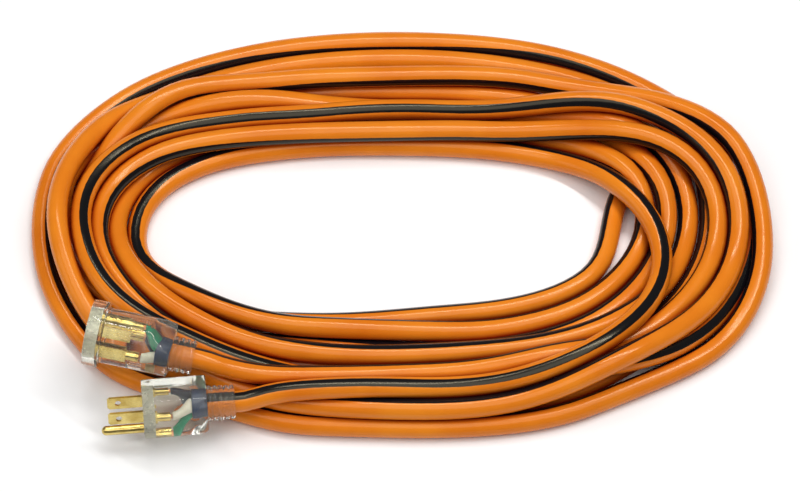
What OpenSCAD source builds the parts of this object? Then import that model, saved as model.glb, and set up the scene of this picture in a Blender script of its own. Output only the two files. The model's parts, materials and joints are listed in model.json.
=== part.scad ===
// Heavy-duty extension cord, wound in an oval coil, with a clear three-prong plug and a clear connector.
// Frame: +X to the right, +Y away, +Z up. The origin is on the floor under the middle of the whole cord.

/* [Cord] */
// Wall of the jacket round the three wires
jacket_wall = 0.875; // [0.6:0.025:1.1]
// Gap round the jacket in a strain relief
cord_gap = 0.1; // [0.05:0.05:0.3]
// Thickness of one wire over its insulation
wire_d = 4.2; // [3.4:0.01:5.1]
// Thickness of the bare copper strands
copper_d = 2.2; // [1.6:0.1:2.6]

/* [Coil] */
// Length of the coil
coil_len = 373.8; // [311:1:449]
// Width of the coil
coil_w = 234.2; // [195:1:281]
// Width of the bundle at the left turn
band_left = 51.6; // [40:1:62]
// Width of the bundle at the right turn
band_right = 80.2; // [60:1:97]
// Width of the bundle on the near run
band_near = 67.2; // [50:1:80]
// Width of the bundle on the far run
band_far = 64.8; // [50:1:78]
// Squareness of the coil's outer outline
outer_power = 2.2; // [2:0.1:3]
// Squareness of the coil's inner outline
inner_power = 2.0; // [2:0.1:3]

/* [Plug] */
// Distance between the two flat blades
blade_pitch = 12.7; // [12.6:0.1:12.8]
// Width of a blade
blade_w = 6.35; // [6:0.05:6.6]
// Thickness of a blade
blade_t = 1.52; // [1.4:0.01:1.6]
// Length of a blade in front of the face
blade_len = 17.3; // [15.9:0.1:18.3]
// Hole through a blade
blade_hole_d = 3.2; // [2.8:0.1:3.6]
// Distance of a blade's hole from the face
blade_hole_x = 11.9; // [11:0.1:12.5]
// Distance of the ground pin from the blades
ground_drop = 11.9; // [11.8:0.1:12]
// Diameter of the ground pin
ground_d = 4.75; // [4.6:0.01:4.9]
// Diameter of the ground pin's shank inside the plug
shank_d = 4.2; // [3.8:0.1:4.4]
// Length of the ground pin in front of the face
ground_len = 21; // [20:0.1:22]
// Length of the plug's body
plug_len = 32; // [28:0.5:38]
// Width of the plug's body
plug_w = 25.2; // [24:0.1:31]
// Height of the plug's body above the blades
plug_top = 11.6; // [11:0.1:14]
// Height of the plug's body below the blades
plug_bottom = 15.6; // [15.2:0.1:19]
// Length of the slope on the ground side
plug_slope_len = 9.5; // [6:0.5:12]
// Roll of the plug about its cord
plug_roll = -25; // [-60:5:0]
// Yaw of the plug
plug_yaw = 5.5; // [0:0.5:10]

/* [Connector] */
// Diameter of the front flange
flange_d = 33; // [29:0.5:40]
// Thickness of the front flange
flange_t = 8; // [6:0.5:12]
// Diameter of the connector's body
conn_d = 27.8; // [27:0.1:34]
// Drop of the connector's body below its cord, towards the ground contact
conn_drop = 2.5; // [2.2:0.1:3]
// Length of the connector's body behind the flange
conn_len = 34.6; // [31:0.5:42]
// Width of a blade slot
slot_t = 2.3; // [2:0.1:2.6]
// Height of a blade slot
slot_h = 7.4; // [7:0.1:8]
// Diameter of the ground hole
ground_hole_d = 5.4; // [5.2:0.1:5.8]
// Number of grip ridges
grip_count = 9; // [5:1:12]
// Roll of the connector about its cord
conn_roll = 160; // [140:2:210]
// Yaw of the connector
conn_yaw = -11.6; // [-20:0.2:0]
// Downward tilt of the connector towards its cord
conn_pitch = 4; // [0:1:10]

/* [Strain reliefs] */
// Length of the plug's strain relief
plug_relief_len = 13.8; // [11:0.2:17]
// Length of the connector's strain relief
conn_relief_len = 11.4; // [9:0.2:14]
// Wall of a strain relief at its ribs
relief_wall = 3.6; // [3:0.1:5]
// Depth of the grooves between the ribs
groove_depth = 1.1; // [0.6:0.1:1.5]
// Number of ribs on a strain relief
rib_count = 5; // [3:1:6]

/* [Hidden] */
// Three wires that touch, inside the jacket
cord_d = wire_d * (1 + 2 / sqrt(3)) + 2 * jacket_wall;
eps = 0.01;
gap = 0.1;
round_fn = 48;
coil_points = 72;
coil_h = cord_d * (1 + sqrt(3) / 2);
edge_round = 2.4;
// The plug reaches out in front of the coil, so the coil's middle lies behind the frame's origin
coil_middle = [0, 4.28, 0];
relief_d = cord_d + 2 * relief_wall;
relief_bore_d = cord_d + 2 * cord_gap;

// Where each end lies: its face's centre, tied to the coil's corner
plug_face = coil_middle + [-coil_len / 2 + 59.6, -coil_w / 2 + 3.4, coil_h + 2.6];
conn_face = coil_middle + [-coil_len / 2 + 32.2, -coil_w / 2 + 38.1, coil_h + flange_d / 2 - conn_drop + 0.9];
plug_pitch = 1;

// Inside the plug, measured back from its face
bridge_front = 0.6;
bridge_t = 5.4;
crimp_len = 6.4;
crimp_d = 4.4;
crimp_bore_d = copper_d + 0.2;
plug_crimp_x = 7;
wrap_len = 7;
wrap_d = cord_d - 0.8;
wire_spread = wire_d * 0.6;

// Inside the connector, measured back from its face
insert_t = 6;
insert_d = conn_d - 2.4;
contact_len = 15;
contact_wall = 0.8;
conn_crimp_x = insert_t + contact_len;
conn_total = flange_t + conn_len;
grip_depth = 0.6;
grip_pitch = 1.4;
grip_x = flange_t + conn_len * 0.33;
conn_slope_len = conn_len * 0.3;
slope_angle = 35;
lamp_d = 4;
lamp_len = 8;
lamp_x = 23;

// ---------- the cord ----------
function oval(cx, cy, a, b, power) = [for (i = [0:coil_points - 1]) let (t = 360 * i / coil_points)
    [cx + a * sign(cos(t)) * pow(abs(cos(t)), 2 / power),
     cy + b * sign(sin(t)) * pow(abs(sin(t)), 2 / power)]];

module coil_outline(inset) {
    hole_len = coil_len - band_left - band_right;
    hole_w = coil_w - band_near - band_far;
    difference() {
        polygon(oval(0, 0, coil_len / 2 - inset, coil_w / 2 - inset, outer_power));
        polygon(oval((band_left - band_right) / 2, (band_near - band_far) / 2,
            hole_len / 2 + inset, hole_w / 2 + inset, inner_power));
    }
}

// One layer of the coil; it starts a little low, so that it is one solid with the layer under it
module slab(z0, z1, inset) {
    start = max(z0 - eps, 0);
    translate([0, 0, start]) linear_extrude(z1 - start) coil_outline(inset);
}

// The wound turns: a lower layer of strands with rounded sides, and an upper layer set in from its edges
module cord_coil() {
    upper_inset = cord_d * 0.75;
    color("darkorange") translate(coil_middle) {
        slab(0, edge_round, edge_round);
        slab(edge_round, cord_d - edge_round, 0);
        slab(cord_d - edge_round, cord_d, edge_round);
        slab(cord_d, coil_h - edge_round, upper_inset);
        slab(coil_h - edge_round, coil_h, upper_inset + edge_round);
    }
}

function unit(v) = v / norm(v);
function tangent(p, i) = unit(p[min(i + 1, len(p) - 1)] - p[max(i - 1, 0)]);
function side(t) = unit(cross([0, 0, 1], t));

// One ring of a tube; where a level is given, the last ring is cut level at that height
function ring(p, i, d, sides, level) = let (t = tangent(p, i), u = side(t), v = cross(t, u))
    [for (k = [0:sides - 1]) let (a = 360 * k / sides, q = p[i] + (u * cos(a) + v * sin(a)) * d / 2)
        i == len(p) - 1 && !is_undef(level) ? q + t * (level - q[2]) / t[2] : q];

// A closed tube along the points p
module tube(p, d, sides, level = undef) {
    n = len(p);
    pts = [for (i = [0:n - 1]) each ring(p, i, d, sides, level)];
    walls = [for (i = [0:n - 2], k = [0:sides - 1]) let (m = (k + 1) % sides)
        each [[i * sides + k, i * sides + m, (i + 1) * sides + m],
              [i * sides + k, (i + 1) * sides + m, (i + 1) * sides + k]]];
    caps = [[for (k = [sides - 1:-1:0]) k], [for (k = [0:sides - 1]) (n - 1) * sides + k]];
    polyhedron(pts, concat(walls, caps));
}

// A smooth curve through the hand-chosen points, three steps to a stretch
curve_steps = 3;
function curve_point(a, b, c, d, t) = 0.5 * ((2 * b) + (c - a) * t
    + (2 * a - 5 * b + 4 * c - d) * t * t + (3 * b - a - 3 * c + d) * t * t * t);
function curve(p) = [for (i = [1:len(p) - 3], s = [0:curve_steps - 1])
    curve_point(p[i - 1], p[i], p[i + 1], p[i + 2], s / curve_steps)];

// The plug's tail crosses over the near run, climbs on the turns and sinks into them at the right
PLUG_ROUTE = [for (p = [[-62, -104, 21], [-37, -103, 22], [-12, -102, 24], [14, -101, 25], [42, -97, 26],
    [62, -93, 26], [83, -87, 26], [106, -76, 26], [121, -60, 25], [129, -42, 22], [134, -24, 19]]) p + coil_middle];
// The connector's tail drops onto the turns of the near run
CONNECTOR_ROUTE = [for (p = [[-90, -92, 28], [-76, -94, 23], [-62, -95, 19]]) p + coil_middle];

module cord_plug_tail() {
    start = plug_place_point([plug_len, 0, 0]);
    lead = plug_place_point([plug_len - 10, 0, 0]);
    mouth = plug_place_point([plug_len + plug_relief_len, 0, 0]);
    pts = concat([lead, start, mouth], PLUG_ROUTE);
    color("darkorange") tube(curve(pts), cord_d, 12, coil_h);
}

module cord_connector_tail() {
    start = conn_place_point([conn_total, 0, 0]);
    lead = conn_place_point([conn_total - 10, 0, 0]);
    mouth = conn_place_point([conn_total + conn_relief_len, 0, 0]);
    last = CONNECTOR_ROUTE[len(CONNECTOR_ROUTE) - 1];
    pts = concat([lead, start, mouth], CONNECTOR_ROUTE, [last + [14, 0, -3]]);
    color("darkorange") tube(curve(pts), cord_d, 12, coil_h);
}

// ---------- placing the two ends ----------
// Each end is drawn with its face at x = 0, its cord towards +X, and its ground contact towards -Z.
module place_plug() {
    translate(plug_face) rotate([0, plug_pitch, plug_yaw]) rotate([plug_roll, 0, 0]) children();
}
module place_connector() {
    translate(conn_face) rotate([0, conn_pitch, conn_yaw]) rotate([conn_roll, 0, 0]) children();
}
// The same places for a point on the cord's axis
function swing(p, pitch, yaw) = [p[0] * cos(pitch) * cos(yaw), p[0] * cos(pitch) * sin(yaw), -p[0] * sin(pitch)];
function plug_place_point(p) = plug_face + swing(p, plug_pitch, plug_yaw);
function conn_place_point(p) = conn_face + swing(p, conn_pitch, conn_yaw);

module along_x(x, length, d, fn = round_fn) {
    translate([x, 0, 0]) rotate([0, 90, 0]) cylinder(d = d, h = length, $fn = fn);
}

// ---------- shared small parts ----------
// A clear sleeve with ribs that keeps the cord from bending sharply at its end
module strain_relief(x, length) {
    pitch = length / rib_count;
    difference() {
        along_x(x, length, relief_d);
        for (i = [0:rib_count - 1]) translate([x + (i + 0.55) * pitch, 0, 0]) difference() {
            along_x(0, pitch * 0.45, relief_d + 1);
            along_x(-1, pitch * 0.45 + 2, relief_d - 2 * groove_depth);
        }
        along_x(x - 1, length + 2, relief_bore_d);
    }
}

// A wire bends smoothly from its place behind a crimp to its place in the wrap
module wire(x0, x1, yz0, yz1) {
    bends = 10;
    tube([for (i = [0:bends]) let (t = i / bends, ease = t * t * (3 - 2 * t), yz = yz0 + (yz1 - yz0) * ease)
        [x0 + (x1 - x0) * t, yz[0], yz[1]]], wire_d, 12);
}

module crimp(x, y, z, length) {
    translate([0, y, z]) difference() {
        along_x(x, length, crimp_d);
        along_x(x + 1.2, length, crimp_bore_d);
    }
}

module strand(x, y, z, length) {
    translate([0, y, z]) along_x(x, length, copper_d);
}

// The dark band that binds the three wires where the jacket ends
module wire_wrap(x) {
    difference() {
        along_x(x, wrap_len, wrap_d);
        for (i = [0:2]) wrap_seat(i) along_x(x - 1, wrap_len + 2, wire_d - 0.2);
    }
}

// The three wires' places in the wrap: 0 hot, 1 neutral, 2 ground
function wrap_yz(i) = i == 2 ? [0, -wire_spread]
    : [(i == 0 ? 1 : -1) * wire_spread * sqrt(3) / 2, wire_spread / 2];
module wrap_seat(i) { translate([0, wrap_yz(i)[0], wrap_yz(i)[1]]) children(); }

// ---------- the plug ----------
module plug_section() {
    corner = 4;
    bottom_r = plug_w / 2;
    translate([0, bottom_r - plug_bottom]) circle(r = bottom_r, $fn = 96);
    translate([-plug_w / 2, bottom_r - plug_bottom])
        square([plug_w, plug_top - corner - bottom_r + plug_bottom]);
    translate([corner - plug_w / 2, bottom_r - plug_bottom])
        square([plug_w - 2 * corner, plug_top - bottom_r + plug_bottom]);
    for (s = [-1, 1]) translate([s * (plug_w / 2 - corner), plug_top - corner]) circle(r = corner, $fn = 32);
}

// A block given by its front, back, half width, bottom and top
module block(x0, x1, half_w, z0, z1) {
    translate([x0, -half_w, z0]) cube([x1 - x0, 2 * half_w, z1 - z0]);
}

// The space that the three wires take between their crimps and the wrap
module wire_chamber(x0, x1) {
    thickest = max(crimp_d, wire_d);
    half_w = blade_pitch / 2 + thickest / 2 + gap;
    bend_x = x0 + crimp_len + (x1 - x0 - crimp_len) * 0.55;
    block(x0, x1 + eps, half_w, -thickest / 2 - 2 * gap, wire_spread / 2 + wire_d / 2 + 2 * gap);
    block(x0, bend_x, thickest / 2 + gap, -ground_drop - thickest / 2 - gap, 0);
    block(bend_x - eps, x1 + eps, thickest / 2 + gap, -ground_drop * 0.8, 0);
}

module plug_inner() {
    plug_bridge_block(gap);
    for (s = [-1, 1]) blade(s * blade_pitch / 2, gap);
    translate([0, 0, -ground_drop]) along_x(-1, plug_crimp_x + 2, shank_d + 2 * gap);
    wire_chamber(plug_crimp_x - gap, plug_wrap_x);
    along_x(plug_wrap_x - gap, plug_len - plug_wrap_x + 1, wrap_d + 2 * gap);
}

module plug_body() {
    place_plug() color([0.9, 0.92, 0.8, 0.5]) difference() {
        rotate([90, 0, 90]) linear_extrude(plug_len) plug_section();
        translate([plug_len - plug_slope_len, 0, -plug_bottom]) rotate([0, -slope_angle, 0])
            translate([0, -plug_w, -20]) cube([30, 2 * plug_w, 20]);
        for (s = [-1, 1]) translate([plug_len - plug_slope_len / 2, s * plug_w / 2, 0]) rotate([0, 0, -s * slope_angle])
            translate([0, s > 0 ? 0 : -20, -25]) cube([30, 20, 50]);
        plug_inner();
    }
}

module plug_strain_relief() {
    place_plug() color([0.9, 0.92, 0.8, 0.5]) strain_relief(plug_len, plug_relief_len);
}

module plug_bridge_block(grow) {
    w = blade_pitch + 5;
    translate([bridge_front - grow, -w / 2 - grow, -3.8 - grow])
        cube([bridge_t + 2 * grow, w + 2 * grow, 7.6 + 2 * grow]);
    translate([0, 0, -ground_drop]) along_x(bridge_front - grow, bridge_t + 2 * grow, 7 + 2 * grow);
    translate([bridge_front - grow, -2.5 - grow, -ground_drop])
        cube([bridge_t + 2 * grow, 5 + 2 * grow, ground_drop]);
}

module plug_bridge() {
    place_plug() color([0.95, 0.94, 0.85, 0.6]) difference() {
        plug_bridge_block(0);
        for (s = [-1, 1]) blade(s * blade_pitch / 2, 0.02);
        translate([0, 0, -ground_drop]) along_x(-1, 10, shank_d + 0.04);
    }
}

// A flat blade with clipped corners at its tip and a hole through it
module blade(y, grow) {
    clip = 1.1;
    h = blade_w / 2 + grow;
    translate([0, y + blade_t / 2 + grow, 0]) rotate([90, 0, 0]) linear_extrude(blade_t + 2 * grow) polygon([
        [-blade_len, -h + clip], [-blade_len + clip, -h], [plug_crimp_x, -h],
        [plug_crimp_x, h], [-blade_len + clip, h], [-blade_len, h - clip]]);
}

module bladed_crimp(y) {
    difference() {
        blade(y, 0);
        translate([-blade_hole_x, y + 5, 0]) rotate([90, 0, 0]) cylinder(d = blade_hole_d, h = 10, $fn = 32);
    }
    crimp(plug_crimp_x, y, 0, crimp_len);
}

module plug_hot_blade() { place_plug() color("gold") bladed_crimp(blade_pitch / 2); }
module plug_neutral_blade() { place_plug() color("gold") bladed_crimp(-blade_pitch / 2); }

module plug_ground_pin() {
    place_plug() color("gold") {
        translate([0, 0, -ground_drop]) {
            along_x(-ground_len + ground_d / 2, ground_len - ground_d / 2, ground_d);
            along_x(0, plug_crimp_x, shank_d);
            translate([-ground_len + ground_d / 2, 0, 0]) sphere(d = ground_d, $fn = round_fn);
        }
        crimp(plug_crimp_x, 0, -ground_drop, crimp_len);
    }
}

// The three wires run from the crimps to the wrap
plug_wire_start = plug_crimp_x + crimp_len + gap;
plug_wrap_x = plug_len - wrap_len - 0.6;
module plug_wire(i) {
    yz = i == 2 ? [0, -ground_drop] : [(i == 0 ? 1 : -1) * blade_pitch / 2, 0];
    wire(plug_wire_start, plug_wrap_x - gap, yz, wrap_yz(i));
}
module plug_hot_wire() { place_plug() color("black") plug_wire(0); }
module plug_neutral_wire() { place_plug() color("ivory") plug_wire(1); }
module plug_ground_wire() { place_plug() color("green") plug_wire(2); }
module plug_wire_wrap() { place_plug() color("midnightblue") wire_wrap(plug_wrap_x); }

module plug_copper_strands() {
    place_plug() color("peru") {
        for (s = [-1, 1]) strand(plug_crimp_x + 1.4, s * blade_pitch / 2, 0, crimp_len - 1.4);
        strand(plug_crimp_x + 1.4, 0, -ground_drop, crimp_len - 1.4);
    }
}

// ---------- the connector ----------
module contact_pockets() {
    for (s = [-1, 1]) translate([0, s * blade_pitch / 2, 0])
        block(insert_t - gap, conn_crimp_x + gap, blade_t / 2 + contact_wall + gap,
            -blade_w / 2 - gap, blade_w / 2 + gap);
    translate([0, 0, -ground_drop]) along_x(insert_t - gap, contact_len + 2 * gap, ground_contact_d + 2 * gap);
}

ground_contact_d = ground_d + 2 * contact_wall + 0.2;
conn_wire_start = conn_crimp_x + crimp_len + gap;
conn_wrap_x = conn_total - wrap_len - 0.6;

module connector_body() {
    place_connector() color([0.9, 0.92, 0.8, 0.5]) difference() {
        translate([0, 0, -conn_drop]) difference() {
            union() {
                along_x(0, flange_t, flange_d, 96);
                along_x(0, conn_total, conn_d, 96);
            }
            along_x(-1, insert_t + 1, insert_d + 0.04);
            translate([conn_total - conn_slope_len, 0, -conn_d / 2]) rotate([0, -slope_angle, 0])
                translate([0, -conn_d, -20]) cube([40, 2 * conn_d, 20]);
            for (i = [0:grip_count - 1])
                translate([grip_x + i * grip_pitch, -conn_d / 2, -conn_d / 2 + grip_depth - 5])
                    cube([grip_pitch / 2, conn_d, 5]);
        }
        contact_pockets();
        wire_chamber(conn_crimp_x - gap, conn_wrap_x);
        along_x(conn_wrap_x - gap, conn_total - conn_wrap_x + 1, wrap_d + 2 * gap);
        translate([lamp_x - lamp_d / 2 - gap, 0, lamp_z]) along_x(0, lamp_len + 7, lamp_d + 2 * gap);
    }
}

// The disc that closes the front and guides the blades into the contacts
module connector_face_insert() {
    place_connector() color([0.95, 0.94, 0.85, 0.6]) difference() {
        translate([0, 0, -conn_drop]) along_x(0, insert_t - gap, insert_d);
        for (s = [-1, 1]) translate([-1, s * blade_pitch / 2 - slot_t / 2, -slot_h / 2])
            cube([insert_t + 2, slot_t, slot_h]);
        translate([0, 0, -ground_drop]) along_x(-1, insert_t + 2, ground_hole_d);
    }
}

module connector_strain_relief() {
    place_connector() color([0.9, 0.92, 0.8, 0.5]) strain_relief(conn_total, conn_relief_len);
}

// A folded brass contact: two leaves that grip the blade, and a crimp behind them
module blade_contact(y) {
    w = blade_w - 0.3;
    t = blade_t / 2;
    for (s = [-1, 1]) translate([insert_t, y + s * (t + contact_wall / 2) - contact_wall / 2, -w / 2])
        cube([contact_len, contact_wall, w]);
    translate([conn_crimp_x - 1.2, y - t - contact_wall, -w / 2]) cube([1.2, 2 * t + 2 * contact_wall, w]);
    crimp(conn_crimp_x, y, 0, crimp_len);
}
module connector_hot_contact() { place_connector() color("gold") blade_contact(-blade_pitch / 2); }
module connector_neutral_contact() { place_connector() color("gold") blade_contact(blade_pitch / 2); }

// The ground contact: a brass sleeve with a spring slit, and a crimp behind it
module connector_ground_contact() {
    z = -ground_drop;
    place_connector() color("gold") {
        translate([0, 0, z]) difference() {
            along_x(insert_t, contact_len, ground_contact_d);
            along_x(insert_t - 1, contact_len - 1, ground_contact_d - 2 * contact_wall);
            translate([insert_t - 1, -0.4, 0]) cube([contact_len - 4, 0.8, 6]);
        }
        crimp(conn_crimp_x, 0, z, crimp_len);
    }
}

// Its hot side is on the other hand, because it faces the plug
module connector_wire(i) {
    yz = i == 2 ? [0, -ground_drop] : [(i == 0 ? -1 : 1) * blade_pitch / 2, 0];
    wire(conn_wire_start, conn_wrap_x - gap, yz, [-wrap_yz(i)[0], wrap_yz(i)[1]]);
}
module connector_hot_wire() { place_connector() color("black") connector_wire(0); }
module connector_neutral_wire() { place_connector() color("ivory") connector_wire(1); }
module connector_ground_wire() { place_connector() color("green") connector_wire(2); }
module connector_wire_wrap() { place_connector() color("midnightblue") wire_wrap(conn_wrap_x); }

module connector_copper_strands() {
    place_connector() color("peru") {
        for (s = [-1, 1]) strand(conn_crimp_x + 1.4, s * blade_pitch / 2, 0, crimp_len - 1.4);
        strand(conn_crimp_x + 1.4, 0, -ground_drop, crimp_len - 1.4);
    }
}

// The glass indicator lamp and its small resistor lie between the wires
lamp_z = 7.2;
module connector_lamp() {
    place_connector() color("lavender") translate([0, 0, lamp_z]) {
        along_x(lamp_x, lamp_len - lamp_d / 2, lamp_d);
        translate([lamp_x, 0, 0]) sphere(d = lamp_d, $fn = round_fn);
    }
}
module connector_resistor() {
    place_connector() color("tan") translate([0, 0, lamp_z]) along_x(lamp_x + lamp_len, 4.5, 2.4);
}

cord_coil();
cord_plug_tail();
cord_connector_tail();
plug_body();
plug_strain_relief();
plug_bridge();
plug_hot_blade();
plug_neutral_blade();
plug_ground_pin();
plug_hot_wire();
plug_neutral_wire();
plug_ground_wire();
plug_wire_wrap();
plug_copper_strands();
connector_body();
connector_face_insert();
connector_strain_relief();
connector_hot_contact();
connector_neutral_contact();
connector_ground_contact();
connector_hot_wire();
connector_neutral_wire();
connector_ground_wire();
connector_wire_wrap();
connector_copper_strands();
connector_lamp();
connector_resistor();
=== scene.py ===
# %% [markdown]
# # A heavy-duty extension cord, wound in an oval coil
# The cord is one long tube of orange vinyl with a black stripe. It lies in about ten turns, and its
# two ends, a clear plug and a clear connector, rest on the near left of the coil. Everything is in
# metres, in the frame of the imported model: +X along the coil, +Y away from the plug's side, +Z up.

# %% Load the frame
import json
import math

import bmesh
import bpy
import numpy as np
from mathutils import Matrix, Vector

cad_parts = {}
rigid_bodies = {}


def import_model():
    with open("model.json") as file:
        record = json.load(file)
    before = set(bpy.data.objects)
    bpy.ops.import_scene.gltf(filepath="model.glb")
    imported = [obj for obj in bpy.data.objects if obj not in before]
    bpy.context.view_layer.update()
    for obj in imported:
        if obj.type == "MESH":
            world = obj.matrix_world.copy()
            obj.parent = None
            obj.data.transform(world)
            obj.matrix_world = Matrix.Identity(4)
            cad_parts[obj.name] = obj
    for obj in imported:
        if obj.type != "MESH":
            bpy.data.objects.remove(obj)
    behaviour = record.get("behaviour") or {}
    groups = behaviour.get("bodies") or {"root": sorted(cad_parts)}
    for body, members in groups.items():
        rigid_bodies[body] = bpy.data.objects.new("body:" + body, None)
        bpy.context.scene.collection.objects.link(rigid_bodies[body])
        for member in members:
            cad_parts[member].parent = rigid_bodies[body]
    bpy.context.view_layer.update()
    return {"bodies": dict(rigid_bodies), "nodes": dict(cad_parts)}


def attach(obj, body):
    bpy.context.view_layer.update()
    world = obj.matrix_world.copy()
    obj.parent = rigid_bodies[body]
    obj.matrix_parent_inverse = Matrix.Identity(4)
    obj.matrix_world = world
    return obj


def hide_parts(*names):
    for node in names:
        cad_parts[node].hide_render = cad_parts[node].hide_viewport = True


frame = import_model()
BODY = list(frame["bodies"])[0]

# %% [markdown]
# ## Camera, floor and light
# The cord is seen from its long side, well above the floor, through a long lens that hardly narrows
# what is far away. A pale floor that turns up into a pale wall would show a horizon, so the floor is
# simply very large. Soft light comes from wide panels: a long bright strip behind the coil draws the
# thin highlights that run along each strand.

# %% Camera
VIEW_ELEVATION = math.radians(60)
VIEW_DISTANCE = 2.4
VIEW_WIDTH = 0.408
SENSOR_WIDTH = 36.0
LOOK_AT = Vector((0.0, -0.0034, 0.0))
camera_data = bpy.data.cameras.new("camera")
camera_data.sensor_width = SENSOR_WIDTH
camera_data.lens = SENSOR_WIDTH * VIEW_DISTANCE / VIEW_WIDTH
camera = bpy.data.objects.new("camera", camera_data)
bpy.context.collection.objects.link(camera)
back = Vector((0.0, -math.cos(VIEW_ELEVATION), math.sin(VIEW_ELEVATION)))
camera.location = LOOK_AT + back * VIEW_DISTANCE
camera.rotation_euler = back.to_track_quat("Z", "Y").to_euler()
bpy.context.scene.camera = camera
print("camera", [round(c, 3) for c in camera.location])

# %% [markdown]
# ## Three helpers
# Nearly every piece here is a list of points and faces, and nearly every finish starts from one
# Principled shader with a few nodes in front of it. Three small functions do those first steps, so
# that the cells further down only say what is special about a piece or a finish.

# %% Helpers for meshes and materials
def link(name, mesh):
    piece = bpy.data.objects.new(name, mesh)
    bpy.context.collection.objects.link(piece)
    return piece


def make_mesh(name, vertices, faces, smooth=True):
    mesh = bpy.data.meshes.new(name)
    mesh.from_pydata([tuple(v) for v in vertices], [], faces)
    mesh.update()
    if smooth:
        mesh.polygons.foreach_set("use_smooth", [True] * len(mesh.polygons))
    return mesh


def new_material(name):
    """A material with its nodes, its Principled shader and a maker of further nodes."""
    material = bpy.data.materials.new(name)
    material.use_nodes = True
    tree = material.node_tree
    shader = tree.nodes["Principled BSDF"]

    def node(kind, **values):
        made = tree.nodes.new(kind)
        for key, value in values.items():
            setattr(made, key, value)
        return made

    return material, tree, shader, node


# %% [markdown]
# ## The floor
# A sheet of matt white studio paper: one flat square, far larger than the view. Its tone changes by
# a hair from place to place, which keeps the shadows on it from looking printed.

# %% Floor
FLOOR_HALF = 6
floor_corners = [(-FLOOR_HALF, -FLOOR_HALF, 0), (FLOOR_HALF, -FLOOR_HALF, 0),
                 (FLOOR_HALF, FLOOR_HALF, 0), (-FLOOR_HALF, FLOOR_HALF, 0)]
floor_mesh = make_mesh("floor", floor_corners, [(0, 1, 2, 3)], smooth=False)
floor = link("floor", floor_mesh)
floor_material, floor_tree, floor_shader, floor_node = new_material("floor_paper")
paper = floor_node("ShaderNodeTexNoise")
paper.inputs["Scale"].default_value = 60
paper.inputs["Detail"].default_value = 5
paper_place = floor_node("ShaderNodeTexCoord")
paper_tone = floor_node("ShaderNodeValToRGB")
paper_tone.color_ramp.elements[0].color = (0.92, 0.92, 0.92, 1)
paper_tone.color_ramp.elements[1].color = (0.95, 0.95, 0.95, 1)
floor_tree.links.new(paper_place.outputs["Object"], paper.inputs["Vector"])
floor_tree.links.new(paper.outputs["Fac"], paper_tone.inputs["Fac"])
floor_tree.links.new(paper_tone.outputs["Color"], floor_shader.inputs["Base Color"])
floor_shader.inputs["Roughness"].default_value = 0.9
floor_mesh.materials.append(floor_material)


# %% [markdown]
# ## The lights
# Glossy vinyl shows its lamps as highlights, so their shape matters more than their strength. A
# long narrow strip gives the thin line along each strand, a wide panel overhead gives the soft
# shadow under the coil, a weak one at the left opens the shaded side, and the white surroundings
# fill in the rest.

# %% Lights
def panel(name, place, width, height, power):
    """A rectangular lamp that faces the middle of the floor; sizes in metres, power in watts."""
    light = bpy.data.lights.new(name, "AREA")
    light.shape = "RECTANGLE"
    light.size = width
    light.size_y = height
    light.energy = power
    holder = link(name, light)
    holder.location = place
    holder.rotation_euler = Vector(place).to_track_quat("Z", "Y").to_euler()


panel("key_strip", (0.25, 0.35, 1.5), width=1.6, height=0.1, power=14)
panel("soft_top", (0.0, -0.5, 2.2), width=2.4, height=1.6, power=29)
panel("left_fill", (-1.6, -0.5, 1.0), width=0.8, height=1.2, power=4)
world = bpy.data.worlds.new("studio")
bpy.context.scene.world = world
world.use_nodes = True
surroundings = world.node_tree.nodes["Background"]
surroundings.inputs["Color"].default_value = (1, 1, 1, 1)
surroundings.inputs["Strength"].default_value = 0.16
bpy.context.scene.view_settings.view_transform = "Standard"

# %% [markdown]
# ## The two ends' own frames
# Each end is drawn with its face at x = 0, its cord towards +x and its ground contact towards -z,
# in millimetres, and then carried to where the model has it. The turn is the same one that the
# model uses: a roll about the cord, a small tilt and a yaw.

# %% Carry a point of an end to its place
def end_place(face, tilt, yaw, roll):
    """The matrix that carries an end, drawn in millimetres, to its place in metres."""
    turn = (Matrix.Rotation(math.radians(yaw), 4, "Z") @ Matrix.Rotation(math.radians(tilt), 4, "Y")
            @ Matrix.Rotation(math.radians(roll), 4, "X"))
    return Matrix.Translation(face) @ turn @ Matrix.Scale(0.001, 4)


PLUG_PLACE = end_place((-0.1273, -0.10942, 0.022753), tilt=1, yaw=5.5, roll=-25)
CONNECTOR_PLACE = end_place((-0.1547, -0.07472, 0.035053), tilt=4, yaw=-11.6, roll=160)
# Millimetres from an end's face to the mouth of its strain relief, where the cord comes out, and
# how much of that is the relief itself
PLUG_LONG, PLUG_RELIEF = 45.8, 13.8
CONNECTOR_LONG, CONNECTOR_RELIEF = 54.0, 11.4

# %% [markdown]
# ## The cord's route
# The real cord was doubled at its middle and wound by hand: both ends leave the near left corner
# towards the right and run round the same way, and one tight bend, hidden under the turns at the
# right, joins the two halves. A route drawn by hand strand by strand would pass through itself
# somewhere. So the route starts from a lay chart, which gives for each quarter turn how many cord
# diameters a strand lies in from the outermost one and whether it is in the lower or the upper
# layer. A small rope solver then drops the cord, pushes strands apart where they touch, keeps the
# bends round, and lets the floor carry it. It uses no random numbers, so it always gives the same lay.

# %% The cord's facts
CORD_D = 0.0108
CORD_R = CORD_D / 2
# A strand that nests between two others lies this much higher than they do
LAYER_STEP = CORD_D * math.sqrt(3) / 2
COIL_MIDDLE = np.array([0, 0.00428, 0])
# Half the length and half the width of the outermost oval; a power of 2 would be an ellipse
OVAL_A, OVAL_B, OVAL_POWER = 0.1815, 0.1117, 2.2
# Where the stripe faces as the cord comes out of the connector and into the plug
CONNECTOR_STRIPE, PLUG_STRIPE = 40, 95


def millimetres(points):
    """Points measured in millimetres from the coil's middle, as metres in the model's frame."""
    return np.array(points) / 1000.0 + COIL_MIDDLE


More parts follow.
